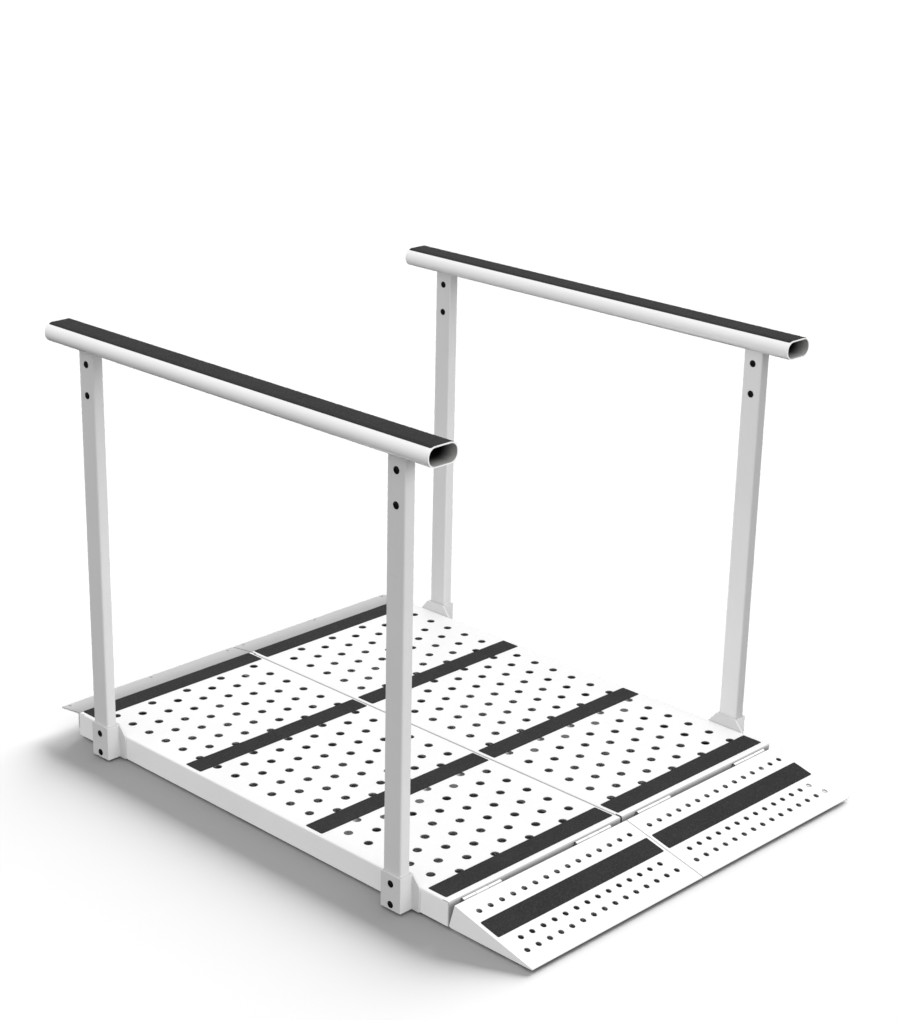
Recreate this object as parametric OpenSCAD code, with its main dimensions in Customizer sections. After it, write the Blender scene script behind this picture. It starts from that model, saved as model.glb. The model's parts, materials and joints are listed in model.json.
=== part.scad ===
// Portable folding wheelchair ramp with handrails.
// Two perforated steel deck halves fold about a hinge line under the seam between them.
// Each half carries a hinged front flap, a fixed rear lip and a bolted handrail.
// X runs across the ramp, Y from the front flap to the rear lip, Z up.
// The origin is on the floor under the centre of the overall footprint.

/* [Deck] */
// Width across both deck halves
deck_w = 800; // [760:10:900]
// Length of the deck without flap and lip
deck_l = 924; // [920:1:960]
// Height of the deck surface above the floor
deck_h = 46.5; // [46:0.5:48]
// Gap between the two halves at the seam
seam_gap = 2.5; // [2:0.5:4]
// Wall thickness of the rims and the deck sheet
sheet_t = 2; // [1.5:0.25:2]
// Diameter of the deck perforations
hole_d = 15; // [10:1:18]
// Sideways distance between neighbouring holes in one row
hole_pitch_x = 80; // [70:5:80]
// Distance from one row of holes to the next
hole_pitch_y = 23.2; // [22:0.1:24]
// Number of rows of holes
hole_rows = 36; // [30:2:36]
// Width of the anti-slip strips, measured along the ramp
tread_w = 39; // [30:1:40]

/* [Flap and lip] */
// How far the front flap reaches beyond the deck
flap_reach = 172; // [160:1:175]
// Slope of the resting flap in degrees
flap_slope = 13.8; // [12:0.1:13.8]
// Diameter of the flap perforations
flap_hole_d = 9.5; // [8:0.5:11]
// Distance between neighbouring flap holes
flap_hole_pitch = 25; // [24:0.5:25]
// How far the rear lip reaches beyond the deck
lip_reach = 52; // [45:1:60]
// Downward slope of the rear lip in degrees
lip_slope = 7; // [5:0.5:9]
// Diameter of the anchor screw holes in the lip
anchor_d = 5.5; // [4.5:0.5:6.5]

/* [Handrails] */
// Height of the rail top above the floor
rail_top = 770; // [600:1:900]
// Length of each handrail
rail_l = 893; // [850:1:920]
// Width of the rail tube
rail_w = 60; // [54:1:62]
// Height of the rail tube
rail_h = 32; // [32:1:40]
// Distance between the front and rear posts
post_pitch = 728; // [700:1:730]
// Depth of a post along the ramp
post_d = 38; // [36:1:40]
// Width of a post across the ramp
post_w = 20; // [20:1:22]

/* [Hidden] */
$fn = 48;

// Sides of the ramp and ends of the deck
left = -1;
right = 1;
front = -1;
rear = 1;

// Colours
paint_white = "white";
paint_grey = "gainsboro";
tread_black = [0.2, 0.2, 0.2];
bolt_black = [0.06, 0.06, 0.06];
bare_steel = "silver";
foot_grey = "dimgray";

// Places of the whole
deck_y = (flap_reach - lip_reach) / 2;
half_w = deck_w / 2;
half_l = deck_l / 2;
half_gap = seam_gap / 2;

// Feet: they lift the rims clear of the floor, so that the fold hinge has room
foot_h = 3.5;
foot_size = [14, 60];
foot_inset = 2.5;
foot_places = [-410, 0, 410];

// Rims: bent channels round each half, with the perforated sheet let in flush
bend_r = 3;
top_flange = 7;
side_flange = 18;
end_top_flange = 12.5;
seam_rim_lift = 4.5;
rim_h = deck_h - foot_h;

// Cross ribs under the two middle anti-slip strips
rib_w = 30;
rib_h = 26;

// Anti-slip strips
tread_t = 1;
tread_inset = 6.5;
tread_l = half_w - 2 * tread_inset;
tread_places = [-430, -151.5, 151.5, 440];

// Perforations: alternate rows hold one hole fewer
wide_row = 5;
first_hole_x = 40;

// Fold hinge under the seam: three short butt hinges on one axis
fold_z = foot_h;
fold_r = 3;
fold_pin_r = 1.5;
fold_bore_r = 1.55;
fold_len = 90;
fold_places = [-300, 0, 300];
fold_leaf = [20, 2.2];
knuckle_gap = 0.5;

// Flap hinges at the top front edge: two to each half
flap_hinge_r = 2.9;
flap_pin_r = 1.4;
flap_bore_r = 1.45;
flap_axis_gap = 4.8;
flap_axis_drop = 3.7;
flap_axis_y = -half_l - flap_axis_gap;
flap_axis_z = deck_h - flap_axis_drop;
flap_hinge_len = 84;
flap_hinge_places = [76, 334];
leaf_t = 1.8;
leaf_down = 26;
leaf_out = 30;

// Flap: lengths run along its own slope from the hinge axis
flap_start = 6;
flap_top = 3.8;
flap_under = flap_top - sheet_t;
flap_len = (flap_reach - flap_axis_gap - flap_top * sin(flap_slope)) / cos(flap_slope);
flap_rows = [28.6, 105.3, 130.8];
flap_row_counts = [15, 14, 15];
flap_tread_at = 68.4;
cheek_gap = 0.7;
cheek_chamfer = 2;

// Lip
lip_t = 2.5;
lip_leg_h = 30;
anchor_back = 8;
anchor_places = [20, 204, 388];

// Posts, sockets and rails, measured outwards from the deck side
plate_t = 3;
socket_t = 2.2;
socket_fit = 0.3;
post_mid = half_w + plate_t + socket_t + socket_fit + post_w / 2;
post_wall = 1.5;
post_r = 3;
post_foot_z = foot_h + 1.5;
post_top = rail_top - rail_h;
socket_rise = 18;
gusset_base_w = 74;
rail_r = 15;
rail_wall = 2;
grip_w = 46;
grip_t = 1;
spigot_l = 95;
spigot_wall = 2;
spigot_fit = 0.3;
spigot_r = 2;

// Fasteners
head_r = 6;
head_t = 2.6;
head_hex_r = 2.6;
head_hex_deep = 1.6;
barrel_r = 4;
barrel_bore_r = 3.1;
screw_r = 3;
bolt_r = 4;
bolt_hole_r = 4.2;
weld_nut_r = 7.2;
weld_nut_t = 6;
weld_nut_bore_r = 4.05;
rail_bolt_drops = [24.5, 77.4];
socket_bolt_z = [12.5, 48.3];
cut = 1;

// Puts a piece drawn on the right half, about the deck's centre, on the given side
module on_side(side) {
    if (side == left) mirror([1, 0, 0]) translate([0, deck_y, 0]) children();
    else translate([0, deck_y, 0]) children();
}

// Extrudes a profile drawn in X and Z along Y, centred on the deck
module along_y(len) {
    translate([0, len / 2, 0]) rotate([90, 0, 0]) linear_extrude(len) children();
}

// Extrudes a profile drawn in Y and Z along X, from x0 to x1
module along_x(x0, x1) {
    translate([x0, 0, 0]) rotate([90, 0, 90]) linear_extrude(x1 - x0) children();
}

// A cylinder along X from x0 to x1
module rod_x(x0, x1, r) {
    translate([x0, 0, 0]) rotate([0, 90, 0]) cylinder(h = x1 - x0, r = r);
}

// A rectangle with round corners, centred
module round_rect(w, h, r) {
    square([w - 2 * r, h], center = true);
    square([w, h - 2 * r], center = true);
    for (x = [-1, 1], y = [-1, 1])
        translate([x * (w / 2 - r), y * (h / 2 - r)]) circle(r);
}

// Channel with its web at 0, flanges towards +x and a bent top corner
module bent_channel(h, top, bottom) {
    square([sheet_t, h - bend_r]);
    square([bottom, sheet_t]);
    translate([bend_r, h - sheet_t]) square([top - bend_r, sheet_t]);
    translate([bend_r, h - bend_r]) intersection() {
        difference() {
            circle(bend_r);
            circle(bend_r - sheet_t);
        }
        translate([-bend_r, 0]) square(bend_r);
    }
}

// ---- Deck halves ----

// Number of holes in a row: the two halves are the same sheet turned end for end
function row_count(side, row) = (row % 2 == 0) == (side == left) ? wide_row - 1 : wide_row;
function row_start(side, row) = row_count(side, row) == wide_row ? 0 : hole_pitch_x / 2;

module deck_sheet(side) {
    color(paint_white) on_side(side)
        translate([0, 0, deck_h - sheet_t]) linear_extrude(sheet_t) difference() {
            translate([half_gap + top_flange, -half_l + end_top_flange])
                square([half_w - half_gap - 2 * top_flange, deck_l - 2 * end_top_flange]);
            for (row = [0 : hole_rows - 1], i = [0 : row_count(side, row) - 1])
                translate([first_hole_x + row_start(side, row) + i * hole_pitch_x,
                    (row - (hole_rows - 1) / 2) * hole_pitch_y]) circle(d = hole_d);
        }
}

// The rims along Y stop short of the end rims' webs and top flanges
module end_relief() {
    for (y = [-1, 1])
        translate([half_w / 2, y * half_l, deck_h])
            cube([half_w, 2 * end_top_flange, 2 * sheet_t], center = true);
}

module side_rim(side) {
    color(paint_white) on_side(side) difference() {
        along_y(deck_l - 2 * sheet_t) translate([half_w, foot_h]) mirror([1, 0])
            bent_channel(rim_h, top_flange, side_flange);
        end_relief();
    }
}

module seam_rim(side) {
    color(paint_white) on_side(side) difference() {
        along_y(deck_l - 2 * sheet_t) translate([half_gap, foot_h + seam_rim_lift])
            bent_channel(rim_h - seam_rim_lift, top_flange, side_flange);
        end_relief();
    }
}

// Front and rear rims: full-width webs with a top flange and a shorter bottom flange.
// Drawn for the front and turned round for the rear.
module end_rim(side, end) {
    color(paint_white) on_side(side) scale([1, -end, 1]) translate([0, -half_l, foot_h]) {
        along_x(half_gap, half_w) bent_channel(rim_h, end_top_flange, sheet_t);
        along_x(half_gap + side_flange + sheet_t, half_w - side_flange - sheet_t)
            square([side_flange, sheet_t]);
    }
}

module cross_ribs(side) {
    color(paint_white) on_side(side)
        for (y = [tread_places[1], tread_places[2]])
            translate([0, y - rib_w / 2, deck_h - sheet_t - rib_h])
                along_x(half_gap + bend_r, half_w - bend_r) difference() {
                    square([rib_w, rib_h]);
                    translate([sheet_t, -cut]) square([rib_w - 2 * sheet_t, rib_h - sheet_t + cut]);
                }
}

module deck_treads(side) {
    color(tread_black) on_side(side)
        for (y = tread_places)
            translate([tread_inset, y - tread_w / 2, deck_h]) cube([tread_l, tread_w, tread_t]);
}

module feet(side) {
    color(foot_grey) on_side(side)
        for (y = foot_places)
            translate([half_w - foot_inset - foot_size[0], y - foot_size[1] / 2, 0])
                cube([foot_size[0], foot_size[1], foot_h]);
}

// Rear lip: a sloping plate with a leg against the rear rim and three screw holes
module lip(side) {
    color(paint_grey) on_side(side) translate([0, half_l, deck_h]) difference() {
        along_x(half_gap, half_w)
            polygon([[0, 0], [lip_reach, -lip_reach * tan(lip_slope)],
                [lip_reach - lip_t * sin(lip_slope),
                    -lip_reach * tan(lip_slope) - lip_t * cos(lip_slope)],
                [lip_t, -lip_t * tan(lip_slope) - lip_t / cos(lip_slope)],
                [lip_t, -lip_leg_h], [0, -lip_leg_h]]);
        for (x = anchor_places)
            translate([x, lip_reach - anchor_back, -(lip_reach - anchor_back) * tan(lip_slope)])
                rotate([-lip_slope, 0, 0])
                    translate([0, 0, -lip_t - cut]) cylinder(h = lip_t + 2 * cut, d = anchor_d);
    }
}

// ---- Fold hinge ----

// Knuckle spans along Y: the outer two belong to the left leaf, the middle one to the right
function knuckles(side, len) = side == left
    ? [[-len / 2, -len / 6 - knuckle_gap / 2], [len / 6 + knuckle_gap / 2, len / 2]]
    : [[-len / 6 + knuckle_gap / 2, len / 6 - knuckle_gap / 2]];

module fold_leaves(side) {
    leaf_z = foot_h + seam_rim_lift - fold_leaf[1];
    reach = fold_r + 2 * knuckle_gap;
    color(bare_steel) on_side(side)
        for (y = fold_places) translate([0, y, 0]) {
            translate([reach, -fold_len / 2, leaf_z])
                cube([fold_leaf[0] - reach, fold_len, fold_leaf[1]]);
            for (k = knuckles(side, fold_len)) translate([0, (k[0] + k[1]) / 2, 0])
                along_y(k[1] - k[0]) difference() {
                    union() {
                        translate([0, fold_z]) circle(fold_r);
                        translate([0, fold_z + fold_r / 2])
                            square([reach, leaf_z + fold_leaf[1] - fold_z - fold_r / 2]);
                    }
                    translate([0, fold_z]) circle(fold_bore_r);
                }
        }
}

module fold_pins() {
    color(bare_steel) translate([0, deck_y, 0])
        for (y = fold_places) translate([0, y, fold_z])
            along_y(fold_len) circle(fold_pin_r);
}

// ---- Flap and its hinges ----

// The level drawing of the flap, from its hinge axis towards -Y, tilted to its rest slope
module flap_frame() {
    translate([0, flap_axis_y, flap_axis_z]) rotate([flap_slope, 0, 0]) children();
}

// Spans of the flap's two hinge knuckles along X; the deck's knuckle is between them
function flap_spans(x) = [[x - flap_hinge_len / 2, x - flap_hinge_len / 6 - knuckle_gap / 2],
    [x + flap_hinge_len / 6 + knuckle_gap / 2, x + flap_hinge_len / 2]];

module flap_deck_leaves(side) {
    half_span = flap_hinge_len / 6 - knuckle_gap / 2;
    color(paint_white) on_side(side) translate([0, flap_axis_y, flap_axis_z])
        for (x = flap_hinge_places) {
            along_x(x - flap_hinge_len / 2, x + flap_hinge_len / 2)
                translate([flap_axis_gap - leaf_t, -leaf_down])
                    square([leaf_t, leaf_down - flap_hinge_r - knuckle_gap]);
            along_x(x - half_span, x + half_span) difference() {
                union() {
                    circle(flap_hinge_r);
                    translate([0, -flap_hinge_r]) square([flap_axis_gap, flap_hinge_r]);
                    translate([flap_axis_gap - leaf_t, -leaf_down]) square([leaf_t, leaf_down]);
                }
                circle(flap_bore_r);
            }
        }
}

module flap_leaves(side) {
    color(paint_white) on_side(side) flap_frame()
        for (x = flap_hinge_places) {
            along_x(x - flap_hinge_len / 2, x + flap_hinge_len / 2)
                translate([-leaf_out, flap_under - leaf_t])
                    square([leaf_out - flap_hinge_r - knuckle_gap, leaf_t]);
            for (s = flap_spans(x)) along_x(s[0], s[1]) difference() {
                union() {
                    circle(flap_hinge_r);
                    translate([-flap_hinge_r - 2 * knuckle_gap, flap_under - leaf_t])
                        square([flap_hinge_r + 2 * knuckle_gap, leaf_t]);
                }
                circle(flap_bore_r);
            }
        }
}

module flap_pins(side) {
    color(bare_steel) on_side(side) translate([0, flap_axis_y, flap_axis_z])
        for (x = flap_hinge_places) rod_x(x - flap_hinge_len / 2, x + flap_hinge_len / 2, flap_pin_r);
}

module flap_sheet(side) {
    color(paint_white) on_side(side) flap_frame()
        translate([0, 0, flap_under]) linear_extrude(sheet_t) difference() {
            translate([half_gap, -flap_len]) square([half_w - half_gap, flap_len - flap_start]);
            for (k = [0 : len(flap_rows) - 1], i = [0 : flap_row_counts[k] - 1])
                translate([half_w / 2 + (i - (flap_row_counts[k] - 1) / 2) * flap_hole_pitch,
                    -flap_start - flap_rows[k]]) circle(d = flap_hole_d);
        }
}

module flap_tread(side) {
    color(tread_black) on_side(side) flap_frame()
        translate([tread_inset, -flap_start - flap_tread_at - tread_w / 2, flap_top])
            cube([tread_l, tread_w, tread_t]);
}

// A triangular cheek under each end of the flap, with its lower edge parallel to the floor
module flap_cheeks(side) {
    start = [-flap_start * cos(flap_slope) - flap_under * sin(flap_slope),
        -flap_start * sin(flap_slope) + flap_under * cos(flap_slope)];
    tip = [-(flap_len - sheet_t) * cos(flap_slope) - flap_under * sin(flap_slope),
        -(flap_len - sheet_t) * sin(flap_slope) + flap_under * cos(flap_slope)];
    floor_z = foot_h - flap_axis_z;
    color(paint_white) on_side(side) translate([0, flap_axis_y, flap_axis_z])
        for (x = [half_gap, half_w - sheet_t]) along_x(x, x + sheet_t)
            polygon([start, tip, [tip[0], floor_z], [0, floor_z],
                [flap_axis_gap - cheek_gap, floor_z + cheek_chamfer]]);
}

// ---- Handrails ----

module at_post(end) {
    translate([post_mid, end * post_pitch / 2, 0]) children();
}

// Socket: a gusset plate on the deck side, carrying a short square tube round the post's foot
module socket(side, end) {
    inner_w = post_w + 2 * socket_fit;
    inner_d = post_d + 2 * socket_fit;
    outer_w = inner_w + 2 * socket_t;
    outer_d = inner_d + 2 * socket_t;
    socket_h = deck_h + socket_rise - foot_h;
    color(paint_grey) on_side(side) at_post(end) difference() {
        union() {
            along_x(-outer_w / 2 - plate_t, -outer_w / 2)
                polygon([[-gusset_base_w / 2, foot_h], [gusset_base_w / 2, foot_h],
                    [gusset_base_w / 2, deck_h], [outer_d / 2, deck_h + socket_rise],
                    [-outer_d / 2, deck_h + socket_rise], [-gusset_base_w / 2, deck_h]]);
            translate([0, 0, foot_h]) linear_extrude(socket_h) difference() {
                square([outer_w, outer_d], center = true);
                square([inner_w, inner_d], center = true);
            }
        }
        for (z = socket_bolt_z) translate([0, 0, z])
            rod_x(post_w / 2 - cut, post_w / 2 + socket_fit + socket_t + cut, bolt_hole_r);
    }
}

module post(side, end) {
    color(paint_grey) on_side(side) at_post(end) difference() {
        translate([0, 0, post_foot_z]) linear_extrude(post_top - post_foot_z) difference() {
            round_rect(post_w, post_d, post_r);
            round_rect(post_w - 2 * post_wall, post_d - 2 * post_wall, post_r - post_wall);
        }
        for (drop = rail_bolt_drops) translate([0, 0, post_top - drop])
            rod_x(-post_w / 2 - cut, post_w / 2 + cut, bolt_hole_r);
        for (z = socket_bolt_z) translate([0, 0, z])
            rod_x(post_w / 2 - post_wall - cut, post_w / 2 + cut, bolt_hole_r);
    }
}

module handrail(side) {
    color(paint_white) on_side(side) translate([post_mid, 0, post_top + rail_h / 2])
        along_y(rail_l) difference() {
            round_rect(rail_w, rail_h, rail_r);
            round_rect(rail_w - 2 * rail_wall, rail_h - 2 * rail_wall, rail_r - rail_wall);
        }
}

// Grip tape laid over the flat top of the rail and a little way round its corners
module rail_grip(side) {
    color(tread_black) on_side(side) translate([post_mid, 0, post_top + rail_h / 2])
        along_y(rail_l) intersection() {
            difference() {
                round_rect(rail_w + 2 * grip_t, rail_h + 2 * grip_t, rail_r + grip_t);
                round_rect(rail_w, rail_h, rail_r);
            }
            translate([-grip_w / 2, 0]) square([grip_w, rail_h]);
        }
}

// Spigots welded under the rail, one inside the top of each post
module rail_spigots(side) {
    w = post_w - 2 * (post_wall + spigot_fit);
    d = post_d - 2 * (post_wall + spigot_fit);
    color(bare_steel) on_side(side) for (end = [front, rear]) at_post(end) difference() {
        translate([0, 0, post_top - spigot_l]) linear_extrude(spigot_l) difference() {
            round_rect(w, d, spigot_r);
            square([w - 2 * spigot_wall, d - 2 * spigot_wall], center = true);
        }
        for (drop = rail_bolt_drops) translate([0, 0, post_top - drop])
            rod_x(-w / 2 - cut, w / 2 + cut, bolt_hole_r);
    }
}

// Domed head with a hexagon socket, its flat side at x = 0 and its dome towards +X
module button_head() {
    rotate([0, 90, 0]) difference() {
        rotate_extrude() intersection() {
            translate([0, -head_r]) circle(head_r + head_t);
            square([head_r, head_t]);
        }
        translate([0, 0, head_t - head_hex_deep]) cylinder(h = head_t, r = head_hex_r, $fn = 6);
    }
}

// Button-head bolts from outside, screwed into barrel nuts from inside
module rail_bolts(side) {
    color(bolt_black) on_side(side) for (end = [front, rear], drop = rail_bolt_drops)
        at_post(end) translate([0, 0, post_top - drop]) {
            translate([post_w / 2, 0, 0]) button_head();
            rod_x(-post_w / 5, post_w / 2, screw_r);
        }
}

module rail_barrel_nuts(side) {
    color(bolt_black) on_side(side) for (end = [front, rear], drop = rail_bolt_drops)
        at_post(end) translate([0, 0, post_top - drop]) mirror([1, 0, 0]) {
            translate([post_w / 2, 0, 0]) button_head();
            difference() {
                rod_x(-post_w / 3, post_w / 2, barrel_r);
                rod_x(-post_w / 3 - cut, post_w / 4, barrel_bore_r);
            }
        }
}

module socket_bolts(side) {
    face = post_w / 2 + socket_fit + socket_t;
    color(bolt_black) on_side(side) for (end = [front, rear], z = socket_bolt_z)
        at_post(end) translate([0, 0, z]) {
            translate([face, 0, 0]) button_head();
            rod_x(post_w / 2 - post_wall - weld_nut_t - cut, face, bolt_r);
        }
}

// Hexagon nuts welded inside the post's foot
module socket_weld_nuts(side) {
    seat = post_w / 2 - post_wall;
    color(bare_steel) on_side(side) for (end = [front, rear], z = socket_bolt_z)
        at_post(end) translate([0, 0, z]) difference() {
            translate([seat - weld_nut_t, 0, 0]) rotate([0, 90, 0])
                cylinder(h = weld_nut_t, r = weld_nut_r, $fn = 6);
            rod_x(seat - weld_nut_t - cut, seat + cut, weld_nut_bore_r);
        }
}

deck_sheet(left);  // left_deck_sheet
side_rim(left);  // left_side_rim
seam_rim(left);  // left_seam_rim
end_rim(left, front);  // left_front_rim
end_rim(left, rear);  // left_rear_rim
cross_ribs(left);  // left_cross_ribs
lip(left);  // left_lip
deck_treads(left);  // left_deck_treads
socket(left, front);  // left_front_socket
socket(left, rear);  // left_rear_socket
post(left, front);  // left_front_post
post(left, rear);  // left_rear_post
handrail(left);  // left_handrail
rail_spigots(left);  // left_rail_spigots
rail_grip(left);  // left_rail_grip
rail_bolts(left);  // left_rail_bolts
rail_barrel_nuts(left);  // left_rail_barrel_nuts
socket_bolts(left);  // left_socket_bolts
socket_weld_nuts(left);  // left_socket_weld_nuts
feet(left);  // left_feet
fold_leaves(left);  // left_fold_leaves
flap_deck_leaves(left);  // left_flap_deck_leaves
flap_pins(left);  // left_flap_pins
flap_sheet(left);  // left_flap_sheet
flap_cheeks(left);  // left_flap_cheeks
flap_tread(left);  // left_flap_tread
flap_leaves(left);  // left_flap_leaves
deck_sheet(right);  // right_deck_sheet
side_rim(right);  // right_side_rim
seam_rim(right);  // right_seam_rim
end_rim(right, front);  // right_front_rim
end_rim(right, rear);  // right_rear_rim
cross_ribs(right);  // right_cross_ribs
lip(right);  // right_lip
deck_treads(right);  // right_deck_treads
socket(right, front);  // right_front_socket
socket(right, rear);  // right_rear_socket
post(right, front);  // right_front_post
post(right, rear);  // right_rear_post
handrail(right);  // right_handrail
rail_spigots(right);  // right_rail_spigots
rail_grip(right);  // right_rail_grip
rail_bolts(right);  // right_rail_bolts
rail_barrel_nuts(right);  // right_rail_barrel_nuts
socket_bolts(right);  // right_socket_bolts
socket_weld_nuts(right);  // right_socket_weld_nuts
feet(right);  // right_feet
fold_leaves(right);  // right_fold_leaves
flap_deck_leaves(right);  // right_flap_deck_leaves
flap_pins(right);  // right_flap_pins
flap_sheet(right);  // right_flap_sheet
flap_cheeks(right);  // right_flap_cheeks
flap_tread(right);  // right_flap_tread
flap_leaves(right);  // right_flap_leaves
fold_pins();
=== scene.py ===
"""Looks of a portable folding wheelchair ramp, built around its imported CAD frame."""
import json
import math

import bmesh
import bpy
import numpy as np
from mathutils import Euler, Matrix, Vector
from mathutils.geometry import delaunay_2d_cdt

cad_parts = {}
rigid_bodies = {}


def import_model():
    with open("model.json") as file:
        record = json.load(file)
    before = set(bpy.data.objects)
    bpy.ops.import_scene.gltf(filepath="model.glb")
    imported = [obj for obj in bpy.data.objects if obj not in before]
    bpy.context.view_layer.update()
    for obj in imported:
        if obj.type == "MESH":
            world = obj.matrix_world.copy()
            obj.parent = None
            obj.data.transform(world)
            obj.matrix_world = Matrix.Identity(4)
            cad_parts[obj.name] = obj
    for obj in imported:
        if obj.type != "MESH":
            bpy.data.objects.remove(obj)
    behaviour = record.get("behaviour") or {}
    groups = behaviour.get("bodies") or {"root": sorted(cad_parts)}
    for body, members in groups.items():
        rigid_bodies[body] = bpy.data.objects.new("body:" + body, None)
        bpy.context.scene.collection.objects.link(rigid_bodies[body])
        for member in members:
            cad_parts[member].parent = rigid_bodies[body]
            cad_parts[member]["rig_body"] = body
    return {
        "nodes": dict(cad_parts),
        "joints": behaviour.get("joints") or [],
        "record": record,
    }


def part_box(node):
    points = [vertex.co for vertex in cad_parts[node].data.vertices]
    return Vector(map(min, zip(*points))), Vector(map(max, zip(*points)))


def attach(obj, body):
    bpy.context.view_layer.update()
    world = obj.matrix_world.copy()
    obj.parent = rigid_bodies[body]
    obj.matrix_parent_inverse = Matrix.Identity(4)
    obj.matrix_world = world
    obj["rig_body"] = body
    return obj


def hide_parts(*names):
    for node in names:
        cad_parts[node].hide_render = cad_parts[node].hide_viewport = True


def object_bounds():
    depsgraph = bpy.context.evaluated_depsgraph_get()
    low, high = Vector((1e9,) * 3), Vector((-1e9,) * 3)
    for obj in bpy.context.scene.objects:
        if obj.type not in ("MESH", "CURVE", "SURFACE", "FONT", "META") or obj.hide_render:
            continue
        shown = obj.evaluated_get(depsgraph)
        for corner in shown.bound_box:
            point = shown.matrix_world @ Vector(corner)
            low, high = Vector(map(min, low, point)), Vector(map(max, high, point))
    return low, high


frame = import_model()
cad_lo, cad_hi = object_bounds()

MM = 0.001
NODES = frame["nodes"]
JOINTS = {j["name"]: j for j in frame["joints"]}
SLOT_OF = {s["node"]: s["material_slot"] for s in frame["record"]["subparts"]}
SIDES = {"left": -1, "right": 1}
ENDS = ("front", "rear")

# Sizes that the frame's boxes don't give, in metres
SHEET_T = 2 * MM
HOLE_ROLL = 0.35 * MM
HOLE_R = 7.5 * MM
HOLE_PITCH_X = 80 * MM
HOLE_PITCH_Y = 23.2 * MM
HOLE_ROWS = 36
WIDE_ROW = 5
FIRST_HOLE_X = 40 * MM
HALF_W = 400 * MM
FLAP_SLOPE = math.radians(13.8)
FLAP_START = 6 * MM
FLAP_TOP = 3.8 * MM
FLAP_HOLE_R = 4.75 * MM
FLAP_HOLE_PITCH = 25 * MM
FLAP_ROWS = ((28.6 * MM, 15), (105.3 * MM, 14), (130.8 * MM, 15))
RAIL_CORNER_R = 15 * MM
KNUCKLE_R = 2.9 * MM
RIB_W = 30 * MM
GUSSET_T = 3 * MM
SOCKET_WALL = 2.5 * MM


# ---- Camera, light and floor ----

CAMERA_AT = (-2.4811, -2.4042, 1.7026)
CAMERA_AZIMUTH = 45.891
CAMERA_DOWN = 20.934
CAMERA_ROLL = 1.2
CAMERA_LENS = 77.09
CAMERA_SHIFT = 0.049


def add_camera():
    """The photograph's view: a long lens from the front left, looking a little down."""
    data = bpy.data.cameras.new("camera")
    cam = bpy.data.objects.new("camera", data)
    bpy.context.scene.collection.objects.link(cam)
    turn = Euler((math.radians(90 - CAMERA_DOWN), 0, -math.radians(CAMERA_AZIMUTH)))
    roll = Matrix.Rotation(math.radians(CAMERA_ROLL), 4, "Z")
    cam.matrix_world = Matrix.Translation(CAMERA_AT) @ turn.to_matrix().to_4x4() @ roll
    data.lens = CAMERA_LENS
    data.sensor_width = 36
    data.shift_y = CAMERA_SHIFT
    data.clip_end = 100
    data.dof.use_dof = False
    bpy.context.scene.camera = cam


def add_sun(name, energy, direction, angle):
    """A sun that shines from the given direction; its angle in degrees sets how soft it is."""
    data = bpy.data.lights.new(name, "SUN")
    data.energy = energy
    data.angle = math.radians(angle)
    lamp = bpy.data.objects.new(name, data)
    bpy.context.scene.collection.objects.link(lamp)
    lamp.rotation_mode = "QUATERNION"
    lamp.rotation_quaternion = Vector(direction).to_track_quat("Z", "Y")
    return lamp


def link_group(name, objects, state):
    """A light-linking collection that includes or excludes these objects."""
    group = bpy.data.collections.new(name)
    for obj in objects:
        group.objects.link(obj)
    for member in group.collection_objects:
        member.light_linking.link_state = state
    return group


def add_sky():
    """Even light from all round, fading out towards the ground."""
    world = bpy.data.worlds.new("studio")
    bpy.context.scene.world = world
    world.use_nodes = True
    tree = world.node_tree
    where = tree.nodes.new("ShaderNodeTexCoord")
    split = tree.nodes.new("ShaderNodeSeparateXYZ")
    fade = tree.nodes.new("ShaderNodeMapRange")
    fade.interpolation_type = "SMOOTHSTEP"
    fade.inputs["From Min"].default_value = -0.5
    fade.inputs["From Max"].default_value = 0.0
    fade.inputs["To Min"].default_value = 0.03
    fade.inputs["To Max"].default_value = 1.0
    tree.links.new(where.outputs["Generated"], split.inputs[0])
    tree.links.new(split.outputs["Z"], fade.inputs["Value"])
    back = tree.nodes["Background"]
    back.inputs["Color"].default_value = (1, 1, 1, 1)
    tree.links.new(fade.outputs["Result"], back.inputs["Strength"])


FLOOR_HALF = 40
FLOOR_GAP = 0.5 * MM


def add_floor():
    """Matt paper just under the feet; the ramp gets no light, shine or shade from it."""
    mesh = bpy.data.meshes.new("floor")
    corners = [(x * FLOOR_HALF, y * FLOOR_HALF, 0) for x, y in ((-1, -1), (1, -1), (1, 1), (-1, 1))]
    mesh.from_pydata(corners, [], [(0, 1, 2, 3)])
    floor = bpy.data.objects.new("floor", mesh)
    bpy.context.scene.collection.objects.link(floor)
    floor.location.z = cad_lo.z - FLOOR_GAP
    floor.visible_diffuse = False
    floor.visible_glossy = False
    floor.visible_shadow = False
    paper = bpy.data.materials.new("floor_paper")
    paper.use_nodes = True
    shader = paper.node_tree.nodes["Principled BSDF"]
    shader.inputs["Base Color"].default_value = (0.36, 0.36, 0.36, 1)
    shader.inputs["Roughness"].default_value = 1.0
    shader.inputs["Specular IOR Level"].default_value = 0.0
    mesh.materials.append(paper)
    return floor


TALL_PARTS = ("_post", "_rail", "_handrail", "_socket")


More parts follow.
